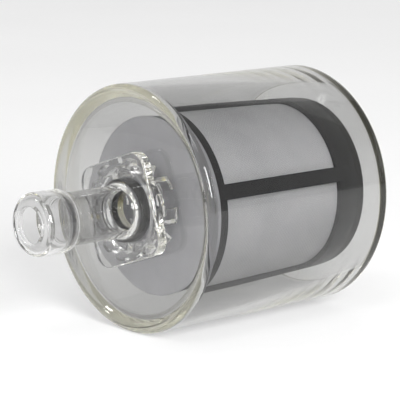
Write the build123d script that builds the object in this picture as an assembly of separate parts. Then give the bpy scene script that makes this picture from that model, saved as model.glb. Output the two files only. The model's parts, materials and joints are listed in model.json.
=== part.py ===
from build123d import *

import os

# Inline magnetic filter capsule.
# The barrel's axis is X: the inlet is at -X and the outlet at +X, and +Z is up.
# The origin is the centre of the barrel. All sizes are in millimetres.

# Gaps between pieces, and how far pieces being joined or cut reach into or past each other
BOND_GAP = 0.06
SEAT_GAP = 0.05
RUNNING_GAP = 0.05
OVERLAP = 0.5
CUT_PAST = 1.0

# Driving dimensions: the barrel
BARREL_R = 30.0
BARREL_WALL = 2.7
BARREL_LENGTH = 58.0
BARREL_BORE_R = BARREL_R - BARREL_WALL
BARREL_END = BARREL_LENGTH / 2

# End plates: the front one is set back from the lip, the rear one nearly flush
PLATE_THICKNESS = 1.2
FRONT_PLATE_SETBACK = 1.5
REAR_PLATE_SETBACK = 0.2
PLATE_CHAMFER = 0.2

# Inlet hose spigot
BEAD_R = 7.5
BEAD_LENGTH = 9.5
BEAD_TIP_ROUND = 2.0
BEAD_BACK_ROUND = 1.1
BEAD_WALL = 1.15
BEAD_INSIDE_ROUND = 0.8
BEAD_TAPER = 3.2
NECK_R = 6.3
BORE_R = 5.15
MOUTH_R = 4.3
INLET_REACH = 29.3
ROOT_ROUND = 1.4

# Outlet socket for a 12 mm pipe
SOCKET_WALL_R = 8.6
PIPE_SOCKET_R = 6.05
PIPE_SOCKET_DEPTH = 9.0
SOCKET_REACH = 10.0
MOUTH_CHAMFER = 0.5

# Rounded-square flange of both fittings, with a castellated hub between it and the plate
FLANGE_FLATS = 25.0
FLANGE_CORNER_R = 4.3
FLANGE_HEIGHT = 4.3
FLANGE_LIP = 2.2
FLANGE_EDGE_ROUND = 0.6
FITTING_ROLL = -18.8
HUB_BORE_R = 10.0
HUB_R = 11.2
TOOTH_R = 12.3
TOOTH_WIDTH = 2.8
TOOTH_COUNT = 14

# Tail that passes through the plate, and the gasket round it
TAIL_R = 6.3
GASKET_R = 7.6

# Locating collar behind the front plate, whose ports turn the water outward
COLLAR_BORE_R = 8.2
COLLAR_R = 10.6
PORT_COUNT = 8
PORT_WIDTH = 4.2
PORT_SILL = 0.25

# Baffle disc that closes the front of the cartridge
BAFFLE_R = 22.2
BAFFLE_THICKNESS = 1.0
BAFFLE_FRONT = -21.5
BAFFLE_EDGE_ROUND = 0.4

# Cartridge cage and its screen
CAGE_R = 22.2
CAGE_FRONT_WALL = 1.1
CAGE_ROLL = -14.9
RIB_COUNT = 4
RIB_WIDTH = 3.6
RIB_HEIGHT = 1.35
WINDOW_FRONT = -18.3
WINDOW_REAR = 19.3
CAGE_REAR = 25.2
REAR_RING_BORE_R = 18.5
SCREEN_THICKNESS = 0.4
SCREEN_LAP = 1.2
SEAM_WIDTH = 3.0

# Seal between the cartridge and the rear plate
SEAL_GROOVE_DEPTH = 0.3
SEAL_GROOVE_MOUTH = 1.0
SEAL_GROOVE_FLOOR = 0.6
SEAL_INSET = 0.15

# Magnet core
SHEATH_R = 7.0
SHEATH_WALL = 0.5
SHEATH_LENGTH = 35.0
PLUG_LENGTH = 4.0
MAGNET_COUNT = 5
MAGNET_THICKNESS = 4.2
POLE_THICKNESS = 1.0
PLUG_NOSE_R = 3.0
O_RING_SECTION_R = 0.6
O_RING_SIDE_GAP = 0.1
STACK_GAP = 0.01
SCREW_R = 1.5
SCREW_HEAD_R = 2.75
SCREW_HEAD_HEIGHT = 1.8
SCREW_HEAD_ROUND = 0.9
SCREW_LENGTH = 5.3
SLOT_WIDTH = 0.7
SLOT_REACH = 1.6
SLOT_DEPTH = 0.8

# Spider that centres the rear end of the magnet core
SPIDER_HUB_R = 5.0
SPIDER_ARM_WIDTH = 2.2
SPIDER_ARM_COUNT = 3
SPIDER_THICKNESS = 2.6
SPIDER_RIM = 1.4
SPIDER_CLEARANCE = 0.2

# Places along the axis that several pieces share
FRONT_PLATE_FACE = -BARREL_END + FRONT_PLATE_SETBACK
FRONT_PLATE_BACK = FRONT_PLATE_FACE + PLATE_THICKNESS
FLANGE_FRONT = FRONT_PLATE_FACE - FLANGE_HEIGHT
REAR_PLATE_FACE = BARREL_END - REAR_PLATE_SETBACK
REAR_PLATE_INSIDE = REAR_PLATE_FACE - PLATE_THICKNESS
SCREEN_R = CAGE_R - RIB_HEIGHT
CAGE_FRONT = BAFFLE_FRONT + BAFFLE_THICKNESS
CORE_FRONT = CAGE_FRONT + CAGE_FRONT_WALL
CORE_REAR = CORE_FRONT + SHEATH_LENGTH
SPIDER_FRONT = WINDOW_REAR + SCREEN_LAP


def profile(points):
    """A closed face from (x, radius) points, in the half plane above the axis."""
    return make_face(Polyline([(x, r) for x, r in points], close=True))


def soften(face, corners):
    """Round some of a profile's corners, each given as (x, radius, rounding)."""
    for x, r, rounding in corners:
        corner = face.vertices().sort_by_distance(Vector(x, r, 0))[0]
        face = fillet(corner, rounding)
    return face


def turned(points, corners=()):
    """A piece turned about the X axis."""
    return revolve(soften(profile(points), corners), axis=Axis.X)


def ring(x0, x1, inner_r, outer_r):
    """A plain ring between two places along the axis."""
    return turned([(x0, inner_r), (x1, inner_r), (x1, outer_r), (x0, outer_r)])


def disc(x0, x1, outer_r):
    """A plain disc between two places along the axis."""
    return turned([(x0, 0), (x1, 0), (x1, outer_r), (x0, outer_r)])


def spoke(x0, x1, inner_r, outer_r, width, angle):
    """A block that stands out from the axis, turned by an angle about it from +Z."""
    block = Box(x1 - x0, width, outer_r - inner_r)
    block = Pos((x0 + x1) / 2, 0, (inner_r + outer_r) / 2) * block
    return Rot(angle, 0, 0) * block


def spread(count, start=0.0):
    """Evenly spaced angles about the axis, in degrees."""
    return [start + 360.0 * i / count for i in range(count)]


def at_outlet(piece):
    """A piece that stands on the front plate, moved to the rear plate and turned round."""
    return Pos(REAR_PLATE_FACE + FRONT_PLATE_FACE, 0, 0) * mirror(piece, about=Plane.YZ)


def housing_tube():
    section = Pos(0, (BARREL_R + BARREL_BORE_R) / 2) * SlotOverall(BARREL_LENGTH, BARREL_WALL)
    return revolve(section, axis=Axis.X)


def end_plate(outside, inside):
    """A round plate with a centre hole and a chamfer round its outer face."""
    step = PLATE_CHAMFER if outside < inside else -PLATE_CHAMFER
    rim = BARREL_BORE_R - BOND_GAP
    hole = TAIL_R + BOND_GAP
    return turned([
        (outside, hole),
        (inside, hole),
        (inside, rim),
        (outside + step, rim),
        (outside, rim - PLATE_CHAMFER),
    ])


def square_flange():
    """The front fitting's rounded-square lip, solid to the axis, and its castellated hub."""
    back = FRONT_PLATE_FACE - BOND_GAP
    outline = RectangleRounded(FLANGE_FLATS, FLANGE_FLATS, FLANGE_CORNER_R)
    lip = Pos(FLANGE_FRONT, 0, 0) * extrude(Plane.YZ * outline, FLANGE_LIP)
    lip = fillet(lip.edges().group_by(Axis.X)[0], FLANGE_EDGE_ROUND)
    inside_lip = FLANGE_FRONT + FLANGE_LIP / 2
    body = lip + ring(inside_lip, back, HUB_BORE_R, HUB_R)
    for angle in spread(TOOTH_COUNT):
        body += spoke(inside_lip, back, HUB_BORE_R + OVERLAP, TOOTH_R, TOOTH_WIDTH, angle)
    return Rot(FITTING_ROLL, 0, 0) * body


def tail():
    """The part of a front fitting that passes through the plate."""
    return disc(FLANGE_FRONT + OVERLAP, FRONT_PLATE_BACK, TAIL_R)


def gasket():
    """Black rubber ring round the tail, between the front fitting's lip and the plate."""
    front = FLANGE_FRONT + FLANGE_LIP + SEAT_GAP
    return ring(front, FRONT_PLATE_FACE - SEAT_GAP, TAIL_R + SEAT_GAP, GASKET_R)


def inlet_fitting():
    """Thin-walled spigot with a hollow rolled bead, on its flange."""
    tip = FRONT_PLATE_FACE - FRONT_PLATE_SETBACK - INLET_REACH
    bead_back = tip + BEAD_LENGTH
    root = FLANGE_FRONT + OVERLAP
    spigot = turned(
        [
            (tip, 0),
            (tip, BEAD_R),
            (bead_back, BEAD_R),
            (bead_back, NECK_R),
            (FLANGE_FRONT, NECK_R),
            (FLANGE_FRONT, NECK_R + 2 * ROOT_ROUND),
            (root, NECK_R + 2 * ROOT_ROUND),
            (root, 0),
        ],
        [
            (tip, BEAD_R, BEAD_TIP_ROUND),
            (bead_back, BEAD_R, BEAD_BACK_ROUND),
            (FLANGE_FRONT, NECK_R, ROOT_ROUND),
        ],
    )
    hollow_r = BEAD_R - BEAD_WALL
    hollow = turned(
        [
            (tip + BEAD_WALL, 0),
            (tip + BEAD_WALL, hollow_r),
            (bead_back - BEAD_TAPER, hollow_r),
            (bead_back, BORE_R),
            (bead_back, 0),
        ],
        [(tip + BEAD_WALL, hollow_r, BEAD_INSIDE_ROUND)],
    )
    mouth = disc(tip - CUT_PAST, tip + BEAD_WALL + OVERLAP, MOUTH_R)
    bore = disc(bead_back - OVERLAP, FRONT_PLATE_BACK + CUT_PAST, BORE_R)
    return spigot + square_flange() + tail() - (hollow + mouth + bore)


def outlet_fitting():
    """Plain pipe socket on its flange, laid out at the front and turned round to the rear."""
    mouth = FRONT_PLATE_FACE - SOCKET_REACH
    root = FLANGE_FRONT + OVERLAP
    nose = turned(
        [(mouth, 0), (mouth, SOCKET_WALL_R), (root, SOCKET_WALL_R), (root, 0)],
        [(mouth, SOCKET_WALL_R, FLANGE_EDGE_ROUND)],
    )
    step = mouth + PIPE_SOCKET_DEPTH
    waterway = turned(
        [
            (mouth - CUT_PAST, 0),
            (mouth - CUT_PAST, PIPE_SOCKET_R + MOUTH_CHAMFER + CUT_PAST),
            (mouth, PIPE_SOCKET_R + MOUTH_CHAMFER),
            (mouth + MOUTH_CHAMFER, PIPE_SOCKET_R),
            (step, PIPE_SOCKET_R),
            (step, BORE_R),
            (FRONT_PLATE_BACK + CUT_PAST, BORE_R),
            (FRONT_PLATE_BACK + CUT_PAST, 0),
        ],
    )
    return at_outlet(nose + square_flange() + tail() - waterway)


def locating_collar():
    """Castellated collar behind the front plate, which bears on the baffle."""
    front = FRONT_PLATE_BACK + BOND_GAP
    rear = BAFFLE_FRONT - BOND_GAP
    body = ring(front, rear, COLLAR_BORE_R, COLLAR_R)
    for angle in spread(PORT_COUNT, FITTING_ROLL):
        body -= spoke(
            front + PORT_SILL, rear + CUT_PAST,
            COLLAR_BORE_R - CUT_PAST, COLLAR_R + CUT_PAST,
            PORT_WIDTH, angle,
        )
    return body


def baffle_disc():
    return turned(
        [
            (BAFFLE_FRONT, SCREW_R + RUNNING_GAP),
            (CAGE_FRONT - RUNNING_GAP, SCREW_R + RUNNING_GAP),
            (CAGE_FRONT - RUNNING_GAP, BAFFLE_R),
            (BAFFLE_FRONT, BAFFLE_R),
        ],
        [(BAFFLE_FRONT, BAFFLE_R, BAFFLE_EDGE_ROUND)],
    )


def cage_frame():
    """Front wall, front ring, ribs and rear ring in one black moulding."""
    body = ring(CAGE_FRONT, CORE_FRONT, SCREW_R + RUNNING_GAP, CAGE_R)
    body += ring(CAGE_FRONT, WINDOW_FRONT, SCREEN_R + RUNNING_GAP, CAGE_R)
    body += turned([
        (WINDOW_REAR, SCREEN_R + RUNNING_GAP),
        (SPIDER_FRONT, SCREEN_R + RUNNING_GAP),
        (SPIDER_FRONT, REAR_RING_BORE_R),
        (CAGE_REAR, REAR_RING_BORE_R),
        (CAGE_REAR, CAGE_R),
        (WINDOW_REAR, CAGE_R),
    ])
    barrel = ring(CAGE_FRONT, CAGE_REAR, SCREEN_R + RUNNING_GAP, CAGE_R)
    for angle in spread(RIB_COUNT, CAGE_ROLL):
        rib = spoke(
            CAGE_FRONT, CAGE_REAR - OVERLAP,
            SCREEN_R - CUT_PAST, CAGE_R + CUT_PAST,
            RIB_WIDTH, angle,
        )
        body += rib & barrel
    return body


def screen_sleeve():
    """Fine woven screen, rolled into a sleeve with a lapped seam under one rib."""
    front = CORE_FRONT + RUNNING_GAP
    rear = SPIDER_FRONT - RUNNING_GAP
    body = ring(front, rear, SCREEN_R - SCREEN_THICKNESS, SCREEN_R)
    lap = ring(front, rear, SCREEN_R - 2 * SCREEN_THICKNESS, SCREEN_R - SCREEN_THICKNESS / 2)
    strip = spoke(front, rear, SCREEN_R - 2 * CUT_PAST, SCREEN_R + CUT_PAST, SEAM_WIDTH, CAGE_ROLL)
    return body + (lap & strip)


def cartridge_seal():
    """Flat rubber ring with a groove in its rear face."""
    rear = REAR_PLATE_INSIDE - RUNNING_GAP
    front = CAGE_REAR + RUNNING_GAP
    inner_r = REAR_RING_BORE_R + SEAL_INSET
    outer_r = CAGE_R - SEAL_INSET
    groove_r = (inner_r + outer_r) / 2
    return turned([
        (front, inner_r),
        (rear, inner_r),
        (rear, groove_r - SEAL_GROOVE_MOUTH / 2),
        (rear - SEAL_GROOVE_DEPTH, groove_r - SEAL_GROOVE_FLOOR / 2),
        (rear - SEAL_GROOVE_DEPTH, groove_r + SEAL_GROOVE_FLOOR / 2),
        (rear, groove_r + SEAL_GROOVE_MOUTH / 2),
        (rear, outer_r),
        (front, outer_r),
    ])


def rear_spider():
    """Hub, arms and rim that centre the magnet core in the rear ring."""
    front = SPIDER_FRONT + SPIDER_CLEARANCE
    rear = front + SPIDER_THICKNESS
    rim_r = REAR_RING_BORE_R - RUNNING_GAP
    body = ring(front, rear, rim_r - SPIDER_RIM, rim_r)
    body += ring(front, rear, PLUG_NOSE_R + RUNNING_GAP, SPIDER_HUB_R)
    for angle in spread(SPIDER_ARM_COUNT, CAGE_ROLL):
        body += spoke(front, rear, SPIDER_HUB_R - OVERLAP, rim_r - SPIDER_RIM / 2, SPIDER_ARM_WIDTH, angle)
    return body


def magnet_sheath():
    return ring(CORE_FRONT + RUNNING_GAP, CORE_REAR, SHEATH_R - SHEATH_WALL, SHEATH_R)


def plug_profile(outer_face, inner_face):
    """A plug's outline above its own bore, with an O-ring groove half way along."""
    plug_r = SHEATH_R - SHEATH_WALL - RUNNING_GAP
    groove_r = plug_r - 2 * O_RING_SECTION_R
    middle = (outer_face + inner_face) / 2
    half = O_RING_SECTION_R + O_RING_SIDE_GAP
    side = 1 if outer_face < inner_face else -1
    return [
        (outer_face, plug_r),
        (middle - side * half, plug_r),
        (middle - side * half, groove_r),
        (middle + side * half, groove_r),
        (middle + side * half, plug_r),
        (inner_face, plug_r),
    ]


def sheath_front_plug():
    """Steel plug with a tapped hole for the core screw."""
    face = CORE_FRONT + RUNNING_GAP
    inner = face + PLUG_LENGTH
    tapped = CORE_FRONT + SCREW_LENGTH - CAGE_FRONT_WALL - BAFFLE_THICKNESS
    return turned([
        (face, SCREW_R),
        *plug_profile(face, inner),
        (inner, 0),
        (tapped, 0),
        (tapped, SCREW_R),
    ])


def sheath_rear_plug():
    """Steel plug with a nose that the spider carries."""
    inner = CORE_REAR - PLUG_LENGTH
    nose = SPIDER_FRONT + SPIDER_THICKNESS
    return turned([
        (inner, 0),
        *reversed(plug_profile(CORE_REAR, inner)),
        (CORE_REAR, PLUG_NOSE_R),
        (nose, PLUG_NOSE_R),
        (nose, 0),
    ])


def plug_o_rings():
    """One O-ring in the groove of each plug."""
    centre_r = SHEATH_R - SHEATH_WALL - O_RING_SECTION_R - RUNNING_GAP / 2
    places = [CORE_FRONT + RUNNING_GAP + PLUG_LENGTH / 2, CORE_REAR - PLUG_LENGTH / 2]
    rings = []
    for x in places:
        section = Pos(x, centre_r) * Circle(O_RING_SECTION_R - RUNNING_GAP / 2)
        rings.append(revolve(section, axis=Axis.X))
    return Compound(children=rings)


def core_stack():
    """Places of the pole discs and magnets, alternating from one plug to the other."""
    x = CORE_FRONT + RUNNING_GAP + PLUG_LENGTH
    poles = []
    magnets = []
    for i in range(MAGNET_COUNT):
        poles.append((x, x + POLE_THICKNESS))
        x += POLE_THICKNESS
        magnets.append((x, x + MAGNET_THICKNESS))
        x += MAGNET_THICKNESS
    poles.append((x, CORE_REAR - PLUG_LENGTH))
    return poles, magnets


def stack_discs(places):
    outer_r = SHEATH_R - SHEATH_WALL - 2 * RUNNING_GAP
    return Compound(children=[disc(x0 + STACK_GAP, x1 - STACK_GAP, outer_r) for x0, x1 in places])


def core_screw():
    """Pan-head screw through the baffle and the cage wall into the front plug."""
    seat = BAFFLE_FRONT - RUNNING_GAP
    end = seat + SCREW_LENGTH
    shank_r = SCREW_R - RUNNING_GAP
    body = turned(
        [
            (seat - SCREW_HEAD_HEIGHT, 0),
            (seat - SCREW_HEAD_HEIGHT, SCREW_HEAD_R),
            (seat, SCREW_HEAD_R),
            (seat, shank_r),
            (end, shank_r),
            (end, 0),
        ],
        [(seat - SCREW_HEAD_HEIGHT, SCREW_HEAD_R, SCREW_HEAD_ROUND)],
    )
    for angle in (0, 90):
        slot_front = seat - SCREW_HEAD_HEIGHT - CUT_PAST
        slot_floor = seat - SCREW_HEAD_HEIGHT + SLOT_DEPTH
        body -= spoke(slot_front, slot_floor, -SLOT_REACH, SLOT_REACH, SLOT_WIDTH, angle)
    return body


def write(name, piece, colour):
    piece.label = name
    piece.color = Color(*colour)
    export_step(piece, f"parts/{name}.step")


CLEAR = (0.85, 0.87, 0.85, 0.3)
BLACK = (0.06, 0.06, 0.065)
GREY = (0.55, 0.55, 0.57)
MESH = (0.62, 0.62, 0.64)
STEEL = (0.7, 0.7, 0.72)
MAGNET = (0.35, 0.35, 0.37)

os.makedirs("parts", exist_ok=True)

pole_places, magnet_places = core_stack()

write("housing_tube", housing_tube(), CLEAR)
write("front_end_plate", end_plate(FRONT_PLATE_FACE, FRONT_PLATE_BACK), CLEAR)
write("rear_end_plate", end_plate(REAR_PLATE_FACE, REAR_PLATE_INSIDE), CLEAR)
write("inlet_fitting", inlet_fitting(), CLEAR)
write("inlet_gasket", gasket(), BLACK)
write("outlet_fitting", outlet_fitting(), CLEAR)
write("outlet_gasket", at_outlet(gasket()), BLACK)
write("locating_collar", locating_collar(), CLEAR)
write("core_screw", core_screw(), STEEL)
write("baffle_disc", baffle_disc(), GREY)
write("cage_frame", cage_frame(), BLACK)
write("screen_sleeve", screen_sleeve(), MESH)
write("cartridge_seal", cartridge_seal(), BLACK)
write("rear_spider", rear_spider(), BLACK)
write("magnet_sheath", magnet_sheath(), STEEL)
write("sheath_front_plug", sheath_front_plug(), STEEL)
write("sheath_rear_plug", sheath_rear_plug(), STEEL)
write("plug_o_rings", plug_o_rings(), BLACK)
write("pole_discs", stack_discs(pole_places), STEEL)
write("magnet_discs", stack_discs(magnet_places), MAGNET)
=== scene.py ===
import json
import math

import bmesh
import bpy
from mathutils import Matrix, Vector, noise


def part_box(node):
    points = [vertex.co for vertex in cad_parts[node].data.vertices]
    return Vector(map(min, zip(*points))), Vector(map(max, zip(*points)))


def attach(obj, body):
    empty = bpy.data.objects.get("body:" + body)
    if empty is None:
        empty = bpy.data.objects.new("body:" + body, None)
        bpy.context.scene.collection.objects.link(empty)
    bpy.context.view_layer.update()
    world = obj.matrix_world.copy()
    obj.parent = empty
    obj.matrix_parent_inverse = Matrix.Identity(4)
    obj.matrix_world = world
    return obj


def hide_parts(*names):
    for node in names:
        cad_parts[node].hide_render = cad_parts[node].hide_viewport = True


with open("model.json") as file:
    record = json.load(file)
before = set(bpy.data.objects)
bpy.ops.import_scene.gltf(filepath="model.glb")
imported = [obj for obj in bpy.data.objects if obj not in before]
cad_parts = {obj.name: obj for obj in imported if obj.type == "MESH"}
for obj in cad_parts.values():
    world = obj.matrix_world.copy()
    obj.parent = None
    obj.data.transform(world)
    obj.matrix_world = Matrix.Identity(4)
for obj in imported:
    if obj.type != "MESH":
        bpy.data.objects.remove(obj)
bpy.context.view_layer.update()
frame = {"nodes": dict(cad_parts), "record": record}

# The barrel's axis is X, from the inlet at -X to the outlet at +X, and +Z is up.
# Blender works in metres. Outlines below are in millimetres, as (x, radius) points.
MM = 0.001
BODY = "root"
TURN = 2 * math.pi
SIDES = 336


# ---------------------------------------------------------------- places, from the frame

def span(node):
    """Where a node starts and ends along X, and its largest radius in Y, in millimetres."""
    low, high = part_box(node)
    return low.x / MM, high.x / MM, high.y / MM


TUBE_X0, TUBE_X1, TUBE_R = span("housing_tube")
PLATE_X0, PLATE_X1, _ = span("front_end_plate")
REAR_X0, REAR_X1, _ = span("rear_end_plate")
INLET_X0, _, _ = span("inlet_fitting")
SCREEN_X0, SCREEN_X1, SCREEN_R = span("screen_sleeve")

# Sizes that the frame doesn't give, in millimetres, the same as in the CAD
WALL = 2.7
BORE_GAP = 0.06
FLANGE_HEIGHT = 4.3
FLANGE_FRONT = PLATE_X0 - FLANGE_HEIGHT
FLANGE_BACK = PLATE_X0 - BORE_GAP
TAIL_R = 6.3
WATERWAY_R = 5.15
FITTING_ROLL = math.radians(-18.8)
CAGE_ROLL = math.radians(-14.9)


def at_rear(rings):
    """A front fitting's rings, moved to the rear plate and turned round."""
    return [(REAR_X1 + PLATE_X0 - x, r) for x, r in rings]


# ---------------------------------------------------------------- shapes

def arc(centre_x, centre_r, radius, start, end, steps):
    """Points of an arc in the (x, radius) plane, with angles in degrees from +X."""
    points = []
    for i in range(steps + 1):
        angle = math.radians(start + (end - start) * i / steps)
        points.append((centre_x + radius * math.cos(angle), centre_r + radius * math.sin(angle)))
    return points


def rounded_square(flats, corner, inset=0.0):
    """The radius of a rounded square at any angle, turned as the fittings are."""
    half = flats / 2 - inset
    bend = corner - inset
    middle = half - bend

    def radius(angle):
        fold = (angle - FITTING_ROLL) % (math.pi / 2)
        fold = min(fold, math.pi / 2 - fold)
        if half * math.tan(fold) <= middle:
            return half / math.cos(fold)
        across = middle * (math.cos(fold) - math.sin(fold))
        return middle * (math.cos(fold) + math.sin(fold)) + math.sqrt(bend ** 2 - across ** 2)

    return radius


def toothed(root_r, tip_r, width, count):
    """The radius of a castellated hub at any angle, turned as the fittings are."""
    half = math.asin(width / 2 / tip_r)

    def radius(angle):
        pitch = TURN / count
        offset = (angle - FITTING_ROLL - math.pi / 2 + pitch / 2) % pitch - pitch / 2
        return tip_r if abs(offset) < half else root_r

    return radius


def add_piece(name, mesh, material, slot, *nodes, sharp=35):
    """A finished piece that rides on the body and stands for one or more CAD nodes."""
    for poly in mesh.polygons:
        poly.use_smooth = True
    mesh.set_sharp_from_angle(angle=math.radians(sharp))
    mesh.materials.clear()
    mesh.materials.append(material)
    piece = bpy.data.objects.new(name, mesh)
    bpy.context.scene.collection.objects.link(piece)
    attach(piece, BODY)
    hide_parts(*nodes)
    return piece


def loft(name, rings, material, slot, *nodes):
    """A closed ring-shaped solid round X. Each ring is (x, radius), or (x, radius at an angle)."""
    bm = bmesh.new()
    loops = []
    for x, r in rings:
        loop = []
        for i in range(SIDES):
            angle = TURN * i / SIDES
            radius = (r(angle) if callable(r) else r) * MM
            loop.append(bm.verts.new((x * MM, radius * math.cos(angle), radius * math.sin(angle))))
        loops.append(loop)
    for a, b in zip(loops, loops[1:] + loops[:1]):
        for i in range(SIDES):
            j = (i + 1) % SIDES
            bm.faces.new((a[i], a[j], b[j], b[i]))
    bmesh.ops.recalc_face_normals(bm, faces=bm.faces)
    mesh = bpy.data.meshes.new(name)
    bm.to_mesh(mesh)
    bm.free()
    return add_piece(name, mesh, material, slot, *nodes)


def softened(name, node, edge, material, slot, segments=2):
    """A copy of a CAD node's shape with every sharp edge rounded a little."""
    same_place, flat, corner = 1e-6, math.radians(0.6), math.radians(40)
    bm = bmesh.new()
    bm.from_mesh(frame["nodes"][node].data)
    bmesh.ops.remove_doubles(bm, verts=bm.verts, dist=same_place)
    bmesh.ops.dissolve_limit(bm, angle_limit=flat, verts=bm.verts, edges=bm.edges)
    sharp = [e for e in bm.edges if len(e.link_faces) == 2 and e.calc_face_angle() > corner]
    bmesh.ops.bevel(
        bm, geom=sharp, offset=edge * MM, offset_type="OFFSET", segments=segments, profile=0.5,
        affect="EDGES", clamp_overlap=True, material=-1,
    )
    bmesh.ops.recalc_face_normals(bm, faces=bm.faces)
    mesh = bpy.data.meshes.new(name)
    bm.to_mesh(mesh)
    bm.free()
    return add_piece(name, mesh, material, slot, node, sharp=50)


# ---------------------------------------------------------------- materials

class Shader:
    """A node-based material under construction."""

    def __init__(self, name, **values):
        self.mat = bpy.data.materials.new(name)
        self.mat.use_nodes = True
        self.nodes = self.mat.node_tree.nodes
        self.links = self.mat.node_tree.links
        self.bsdf = self.nodes["Principled BSDF"]
        for key, value in values.items():
            self.bsdf.inputs[key.replace("_", " ")].default_value = value

    def place(self, stretch=(1, 1, 1)):
        """Object coordinates in metres, scaled along each axis."""
        coords = self.nodes.new("ShaderNodeTexCoord")
        mapping = self.nodes.new("ShaderNodeMapping")
        mapping.inputs["Scale"].default_value = stretch
        self.links.new(coords.outputs["Object"], mapping.inputs["Vector"])
        return mapping.outputs["Vector"]

    def noise(self, scale, detail=3.0, stretch=(1, 1, 1), rough=0.5):
        """Noise with about scale blobs per metre."""
        node = self.nodes.new("ShaderNodeTexNoise")
        node.inputs["Scale"].default_value = scale
        node.inputs["Detail"].default_value = detail
        node.inputs["Roughness"].default_value = rough
        self.links.new(self.place(stretch), node.inputs["Vector"])
        return node.outputs["Fac"]

    def math(self, operation, a, b=None, c=None):
        node = self.nodes.new("ShaderNodeMath")
        node.operation = operation
        for socket, value in zip(node.inputs, (a, b, c)):
            if value is None:
                continue
            if isinstance(value, (int, float)):
                socket.default_value = value
            else:
                self.links.new(value, socket)
        return node.outputs[0]

    def spread(self, value, low, high, start=0.3, end=0.7):
        """A value taken from start..end to low..high."""
        node = self.nodes.new("ShaderNodeMapRange")
        node.inputs["From Min"].default_value = start
        node.inputs["From Max"].default_value = end
        node.inputs["To Min"].default_value = low
        node.inputs["To Max"].default_value = high
        self.links.new(value, node.inputs["Value"])
        return node.outputs["Result"]

    def colour(self, value, dark, light, start=0.3, end=0.7):
        """The base colour runs from dark to light as a value rises."""
        ramp = self.nodes.new("ShaderNodeValToRGB")
        ramp.color_ramp.elements[0].position = start
        ramp.color_ramp.elements[0].color = (*dark, 1)
        ramp.color_ramp.elements[1].position = end
        ramp.color_ramp.elements[1].color = (*light, 1)
        self.links.new(value, ramp.inputs["Fac"])
        self.links.new(ramp.outputs["Color"], self.bsdf.inputs["Base Color"])

    def roughness(self, value):
        self.links.new(value, self.bsdf.inputs["Roughness"])

    def bump(self, height, depth):
        """Relief whose full height is depth in millimetres. Calls stack up."""
        node = self.nodes.new("ShaderNodeBump")
        node.inputs["Distance"].default_value = depth * MM
        node.inputs["Strength"].default_value = 1.0
        self.links.new(height, node.inputs["Height"])
        earlier = self.bsdf.inputs["Normal"]
        if earlier.is_linked:
            self.links.new(earlier.links[0].from_socket, node.inputs["Normal"])
        self.links.new(node.outputs["Normal"], self.bsdf.inputs["Normal"])


def clear_plastic(name, see_through_shade, density, ripple, stretch):
    """Clear plastic: a grey base colour that darkens what shows through it, as painted shade for a
    dimmer surround; faint flow ripples, and slight handling haze.
    """
    s = Shader(name, Transmission_Weight=1.0, IOR=1.49)
    wide = s.noise(28, 2, stretch)
    s.colour(wide, [c * 0.985 for c in see_through_shade], [min(1.0, c * 1.01) for c in see_through_shade])
    s.roughness(s.spread(s.noise(150, 5), 0.0, 0.022, 0.5, 0.75))
    s.bump(wide, ripple)
    volume = s.nodes.new("ShaderNodeVolumeAbsorption")
    volume.inputs["Color"].default_value = (0.93, 0.92, 0.80, 1)
    volume.inputs["Density"].default_value = density
    s.links.new(volume.outputs["Volume"], s.nodes["Material Output"].inputs["Volume"])
    return s.mat


def moulded_black():
    """Black nylon with a fine spark-eroded grain and paler flow marks."""
    s = Shader("moulded_black", IOR=1.5)
    s.colour(s.noise(90, 4, (0.4, 1, 1)), (0.006, 0.006, 0.007), (0.016, 0.016, 0.017))
    s.roughness(s.spread(s.noise(400, 4), 0.42, 0.62))
    s.bump(s.noise(2600, 2), 0.004)
    s.bump(s.noise(120, 2), 0.03)
    return s.mat


def rubber():
    """Matt black rubber with a slight bloom."""
    s = Shader("moulded_rubber", IOR=1.5)
    s.colour(s.noise(200, 5), (0.010, 0.010, 0.010), (0.022, 0.021, 0.021))
    s.roughness(s.spread(s.noise(700, 3), 0.55, 0.8))
    s.bump(s.noise(3500, 2), 0.015)
    return s.mat


def grey_moulding(light):
    """Pale grey satin moulding, slightly mottled, with very fine rings from turning the tool."""
    s = Shader("grey_moulding", IOR=1.5)
    mottle = s.noise(140, 5, rough=0.6)
    s.colour(mottle, [c * 0.93 for c in light], [c * 1.04 for c in light])
    s.roughness(s.spread(s.noise(420, 4), 0.34, 0.55))
    s.bump(mottle, 0.06)
    s.bump(s.noise(3000, 2), 0.01)
    parts = s.nodes.new("ShaderNodeSeparateXYZ")
    s.links.new(s.place(), parts.inputs[0])
    across = s.math("POWER", parts.outputs["Y"], 2.0)
    up = s.math("POWER", parts.outputs["Z"], 2.0)
    radius = s.math("SQRT", s.math("ADD", across, up))
    ring_pitch = 0.45 * MM
    s.bump(s.math("SINE", s.math("MULTIPLY", radius, TURN / ring_pitch)), 0.003)
    return s.mat


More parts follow.
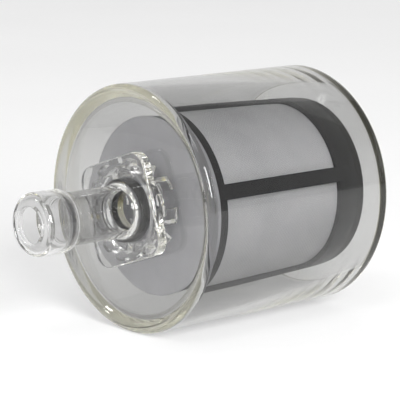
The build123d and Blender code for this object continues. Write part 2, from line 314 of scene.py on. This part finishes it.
def woven_wire(light, pitch=0.42):
    """Plain woven wire round the axis: each wire rises over one neighbour and dips under the next."""
    s = Shader("woven_wire", IOR=1.5)
    parts = s.nodes.new("ShaderNodeSeparateXYZ")
    s.links.new(s.place(), parts.inputs[0])
    angle = s.math("ARCTAN2", parts.outputs["Z"], parts.outputs["Y"])
    wires = round(TURN * SCREEN_R / pitch / 2) * 2
    along = s.math("MULTIPLY", angle, wires / TURN)
    down = s.math("DIVIDE", parts.outputs["X"], pitch * MM)
    round_wave = s.math("SINE", s.math("MULTIPLY", along, math.pi))
    down_wave = s.math("SINE", s.math("MULTIPLY", down, math.pi))
    checker = s.math("MULTIPLY", round_wave, down_wave)
    warp = s.math("ABSOLUTE", round_wave)
    weft = s.math("ABSOLUTE", down_wave)
    lines = s.math("MAXIMUM", warp, weft)
    height = s.math("MULTIPLY_ADD", checker, 0.35, lines)
    # The colour follows the weave's height, so the gaps between wires and the places where a wire
    # dips under its neighbour are darker: painted shade. The blotches added to it are random tone.
    blotch = s.spread(s.noise(60, 4, rough=0.6), -0.28, 0.28)
    painted_shade_and_blotch = s.math("ADD", s.math("MULTIPLY", height, 0.6), blotch)
    s.colour(painted_shade_and_blotch, [c * 0.72 for c in light], light, 0.0, 0.7)
    s.roughness(s.spread(lines, 0.6, 0.38, 0.2, 1.0))
    s.bump(height, 0.12)
    return s.mat


def drawn_steel(name, light, stretch):
    """Bright steel with fine drawn or turned lines."""
    s = Shader(name, Metallic=1.0)
    lines = s.noise(900, 4, stretch)
    s.colour(lines, [c * 0.82 for c in light], light)
    s.roughness(s.spread(lines, 0.2, 0.42))
    s.bump(lines, 0.006)
    return s.mat


def floor_material():
    """Pale studio card, lit a little from below so that it stays white under the object."""
    s = Shader("floor_card", Emission_Color=(1, 1, 1, 1), Emission_Strength=0.44)
    s.colour(s.noise(6, 3), (0.48, 0.48, 0.48), (0.5, 0.5, 0.5))
    s.roughness(s.spread(s.noise(300, 2), 0.75, 0.9))
    return s.mat


# The grey base colours below are painted shade: all three pieces are the same clear plastic, darkened
# by different amounts, the tube most, so that what shows through them looks dimmer. The yellowish
# absorption inside is the plastic's own.
TUBE_CLEAR = clear_plastic("clear_tube", (0.62, 0.62, 0.62), 16, 0.012, (0.25, 1, 1))
PLATE_CLEAR = clear_plastic("clear_plate", (0.975, 0.975, 0.97), 10, 0.010, (1, 1, 1))
FITTING_CLEAR = clear_plastic("clear_fitting", (0.82, 0.82, 0.82), 10, 0.010, (1, 1, 1))
BLACK = moulded_black()
RUBBER = rubber()
GREY = grey_moulding((0.49, 0.49, 0.525))
WIRE = woven_wire((0.95, 0.95, 0.97))
TURNED_STEEL = drawn_steel("turned_steel", (0.62, 0.62, 0.63), (1, 0.08, 0.08))
DRAWN_STEEL = drawn_steel("drawn_steel", (0.6, 0.6, 0.61), (0.05, 1, 1))
NICKEL = drawn_steel("nickel_plate", (0.66, 0.63, 0.58), (1, 1, 1))


# ---------------------------------------------------------------- clear pieces

def bonded_housing():
    """The barrel and its two plates, solvent-welded so that no joint shows in the clear plastic.

    A sloping weld runs from the front rim to the front plate.
    """
    lip = WALL / 2
    bore_r = TUBE_R - WALL
    middle_r = TUBE_R - lip
    hole_r = TAIL_R + BORE_GAP
    weld_r, weld_start, weld_steps, inner_fillet = 25.5, 235, 8, 0.3
    rear_lip = TUBE_X1 - lip
    flush = math.degrees(math.acos((REAR_X1 - rear_lip) / lip))
    rings = arc(TUBE_X0 + lip, middle_r, lip, 90, weld_start, 20)
    ramp_x, ramp_r = rings[-1]
    for i in range(1, weld_steps + 1):
        part = i / weld_steps
        ease = math.sin(math.pi / 2 * part)
        rings.append((ramp_x + (PLATE_X0 - ramp_x) * ease, ramp_r + (weld_r - ramp_r) * part))
    rings += [(PLATE_X0, hole_r), (PLATE_X1, hole_r)]
    rings += arc(PLATE_X1 + inner_fillet, bore_r - inner_fillet, inner_fillet, 180, 90, 5)
    rings += arc(REAR_X0 - inner_fillet, bore_r - inner_fillet, inner_fillet, 90, 0, 5)
    rings += [(REAR_X0, hole_r), (REAR_X1, hole_r)]
    rings += arc(rear_lip, middle_r, lip, -flush, 90, 20)
    nodes = ("housing_tube", "front_end_plate", "rear_end_plate")
    housing = loft("bonded_housing", rings, TUBE_CLEAR, "clear_plastic", *nodes)
    housing.data.materials.append(PLATE_CLEAR)
    for poly in housing.data.polygons:
        middle = poly.center
        if math.hypot(middle.y, middle.z) < weld_r * MM:
            poly.material_index = 1


def flange_rings():
    """From the lip's front edge round the castellated hub to the end of the tail."""
    flats, corner, lip, edge, edge_steps = 25.0, 4.3, 2.2, 0.6, 6
    hub_bore_r, hub_r, tooth_r, tooth_width, tooth_count = 10.0, 11.2, 12.3, 2.8, 14
    rings = []
    for i in range(edge_steps + 1):
        angle = math.pi / 2 * i / edge_steps
        inset = edge * (1 - math.sin(angle))
        x = FLANGE_FRONT + edge * (1 - math.cos(angle))
        rings.append((x, rounded_square(flats, corner, inset)))
    teeth = toothed(hub_r, tooth_r, tooth_width, tooth_count)
    lip_back = FLANGE_FRONT + lip
    rings += [(lip_back, rounded_square(flats, corner)), (lip_back, teeth), (FLANGE_BACK, teeth)]
    rings += [(FLANGE_BACK, hub_bore_r), (lip_back, hub_bore_r)]
    rings += [(lip_back, TAIL_R), (PLATE_X1, TAIL_R)]
    return rings


def inlet_fitting():
    """Thin-walled hose spigot with a hollow rolled bead."""
    tip, neck_r, root, mouth_r, lip = INLET_X0, 6.3, 1.4, 4.3, 0.4
    bead_r, bead_back, tip_round, back_round = 7.5, tip + 9.5, 2.0, 1.1
    wall, inside_round, taper, taper_steps, crease = 1.15, 0.8, 3.2, 12, 0.3
    hollow_r = bead_r - wall
    rings = arc(tip + lip, mouth_r + lip, lip, 270, 180, 6)
    rings += arc(tip + tip_round, bead_r - tip_round, tip_round, 180, 90, 16)
    rings += arc(bead_back - back_round, bead_r - back_round, back_round, 90, 0, 10)
    rings += arc(bead_back + crease, neck_r + crease, crease, 180, 270, 5)
    rings += arc(FLANGE_FRONT - root, neck_r + root, root, 270, 360, 10)
    rings += flange_rings()
    rings.append((PLATE_X1, WATERWAY_R))
    for i in range(taper_steps + 1):
        part = i / taper_steps
        ease = 0.5 - 0.5 * math.cos(math.pi * part)
        rings.append((bead_back - taper * part, WATERWAY_R + (hollow_r - WATERWAY_R) * ease))
    rings += arc(tip + wall + inside_round, hollow_r - inside_round, inside_round, 90, 180, 8)
    rings += [(tip + wall, mouth_r)]
    loft("inlet_spigot", rings, FITTING_CLEAR, "clear_plastic", "inlet_fitting")


def outlet_fitting():
    """Plain pipe socket on the same flange."""
    mouth = PLATE_X0 - 10.0
    socket_r, wall_r, edge, chamfer, step = 6.05, 8.6, 0.6, 0.5, mouth + 9.0
    rings = arc(mouth + chamfer, socket_r + chamfer, chamfer, 270, 180, 6)
    rings += arc(mouth + edge, wall_r - edge, edge, 180, 90, 6)
    rings += arc(FLANGE_FRONT - edge, wall_r + edge, edge, 270, 360, 5)
    rings += flange_rings()
    rings += [(PLATE_X1, WATERWAY_R), (step, WATERWAY_R), (step, socket_r)]
    loft("outlet_socket", at_rear(rings), FITTING_CLEAR, "clear_plastic", "outlet_fitting")


# ---------------------------------------------------------------- inner pieces

def screen_sleeve():
    """The screen: slack by a hair between the ribs, thicker at its lapped seam."""
    thickness, slack, seam, inset, waver = 0.4, 0.16, 3.0, 0.03, 0.05
    columns, rows, quarter = 288, 60, TURN / 4
    bm = bmesh.new()

    def skin(outer):
        grid = []
        for k in range(rows + 1):
            along = k / rows
            x = SCREEN_X0 + (SCREEN_X1 - SCREEN_X0) * along
            loop = []
            for i in range(columns):
                angle = TURN * i / columns
                from_seam = angle - CAGE_ROLL - quarter
                dip = slack * math.sin(from_seam % quarter * 2) ** 2 * math.sin(math.pi * along)
                spot = Vector((x * 0.12, math.cos(angle) * 4, math.sin(angle) * 4))
                wander = waver * noise.noise(spot)
                off_seam = abs((from_seam + TURN / 2) % TURN - TURN / 2) * SCREEN_R
                lap = thickness if off_seam < seam / 2 else 0.0
                depth = inset if outer else thickness + lap
                r = (SCREEN_R - depth - dip + min(0.0, wander)) * MM
                loop.append(bm.verts.new((x * MM, r * math.cos(angle), r * math.sin(angle))))
            grid.append(loop)
        return grid

    outside, inside = skin(True), skin(False)
    sheets = list(zip(outside, outside[1:])) + list(zip(inside[1:], inside))
    sheets += [(inside[0], outside[0]), (outside[-1], inside[-1])]
    for a, b in sheets:
        for i in range(columns):
            j = (i + 1) % columns
            bm.faces.new((a[i], a[j], b[j], b[i]))
    bmesh.ops.recalc_face_normals(bm, faces=bm.faces)
    mesh = bpy.data.meshes.new("wire_screen")
    bm.to_mesh(mesh)
    bm.free()
    add_piece("wire_screen", mesh, WIRE, "mesh", "screen_sleeve")


def pieces():
    bonded_housing()
    inlet_fitting()
    outlet_fitting()
    screen_sleeve()
    softened("collar", "locating_collar", 0.18, FITTING_CLEAR, "clear_plastic")
    softened("cage", "cage_frame", 0.22, BLACK, "black_plastic", 3)
    softened("spider", "rear_spider", 0.3, BLACK, "black_plastic")
    softened("front_gasket", "inlet_gasket", 0.3, RUBBER, "rubber", 3)
    softened("rear_gasket", "outlet_gasket", 0.3, RUBBER, "rubber", 3)
    softened("cage_seal", "cartridge_seal", 0.1, RUBBER, "rubber")
    softened("sheath", "magnet_sheath", 0.12, DRAWN_STEEL, "stainless")
    softened("rear_plug", "sheath_rear_plug", 0.25, TURNED_STEEL, "stainless")


def dress_nodes():
    """Every CAD node gets its material, whether it stays in view or is replaced."""
    finish = {
        "clear_plastic": FITTING_CLEAR, "black_plastic": BLACK, "rubber": RUBBER, "grey_disc": GREY,
        "mesh": WIRE, "stainless": TURNED_STEEL, "mild_steel": TURNED_STEEL, "magnet": NICKEL,
    }
    slots = {part["node"]: part["material_slot"] for part in frame["record"]["subparts"]}
    for name, node in frame["nodes"].items():
        node.data.materials.clear()
        node.data.materials.append(finish[slots[name]])


# ---------------------------------------------------------------- floor, lights and camera

CAMERA_TARGET = Vector((-3.7, 2.9, -1.2)) * MM
CAMERA_AZIMUTH = 41.425
CAMERA_ELEVATION = 10.623
CAMERA_DISTANCE = 493.7 * MM
LENS = 180.0


def floor():
    """A wide floor that curves up into a backdrop behind the object."""
    near, far, side, height, bend, bend_steps = -3.0, 2.2, 4.0, 3.0, 1.0, 16
    outline = [(near, 0.0)]
    for i in range(bend_steps + 1):
        angle = math.pi / 2 * i / bend_steps
        outline.append((far - bend + bend * math.sin(angle), bend - bend * math.cos(angle)))
    outline.append((far, height))
    bm = bmesh.new()
    rows = []
    for y, z in outline:
        rows.append([bm.verts.new((x, y, z - TUBE_R * MM)) for x in (-side, side)])
    for a, b in zip(rows, rows[1:]):
        bm.faces.new((a[0], a[1], b[1], b[0]))
    mesh = bpy.data.meshes.new("studio_floor")
    bm.to_mesh(mesh)
    bm.free()
    for poly in mesh.polygons:
        poly.use_smooth = True
    mesh.materials.append(floor_material())
    backdrop = bpy.data.objects.new("studio_floor", mesh)
    backdrop.rotation_euler = (0, 0, math.radians(-CAMERA_AZIMUTH))
    bpy.context.scene.collection.objects.link(backdrop)


def softbox(name, place, size, radiance):
    """A rectangular light that faces the object and looks equally bright from any distance."""
    data = bpy.data.lights.new(name, "AREA")
    data.shape = "RECTANGLE"
    data.size, data.size_y = size
    data.energy = radiance * math.pi * size[0] * size[1]
    lamp = bpy.data.objects.new(name, data)
    lamp.location = place
    lamp.rotation_euler = (-Vector(place)).to_track_quat("-Z", "Y").to_euler()
    bpy.context.scene.collection.objects.link(lamp)


def studio():
    floor()
    softbox("key_softbox", (-0.55, -0.45, 0.95), (0.34, 0.34), 6.0)
    softbox("side_softbox", (-0.35, -1.05, 0.5), (0.5, 0.5), 24.0)
    softbox("front_softbox", (-0.9, -0.75, 0.35), (0.14, 0.14), 20.0)
    softbox("far_softbox", (-0.75, 0.55, 0.7), (0.12, 0.2), 20.0)
    world = bpy.data.worlds.new("studio_world")
    world.use_nodes = True
    background = world.node_tree.nodes["Background"]
    background.inputs["Color"].default_value = (1, 1, 1, 1)
    background.inputs["Strength"].default_value = 0.45
    bpy.context.scene.world = world
    bpy.context.scene.view_settings.view_transform = "Standard"


def camera():
    data = bpy.data.cameras.new("camera")
    data.lens = LENS
    data.sensor_width = 36.0
    data.clip_start = 0.01
    data.clip_end = 20
    cam = bpy.data.objects.new("camera", data)
    azimuth = math.radians(CAMERA_AZIMUTH)
    elevation = math.radians(CAMERA_ELEVATION)
    back = Vector((
        -math.sin(azimuth) * math.cos(elevation),
        -math.cos(azimuth) * math.cos(elevation),
        math.sin(elevation),
    ))
    cam.location = CAMERA_TARGET + back * CAMERA_DISTANCE
    cam.rotation_euler = (-back).to_track_quat("-Z", "Y").to_euler()
    bpy.context.scene.collection.objects.link(cam)
    bpy.context.scene.camera = cam


dress_nodes()
pieces()
studio()
camera()

# Light crosses many clear walls before it reaches the inner pieces.
CLEAR_WALL_BOUNCES = 40
bpy.context.scene.cycles.max_bounces = CLEAR_WALL_BOUNCES
bpy.context.scene.cycles.transmission_bounces = CLEAR_WALL_BOUNCES
bpy.context.scene.cycles.glossy_bounces = CLEAR_WALL_BOUNCES
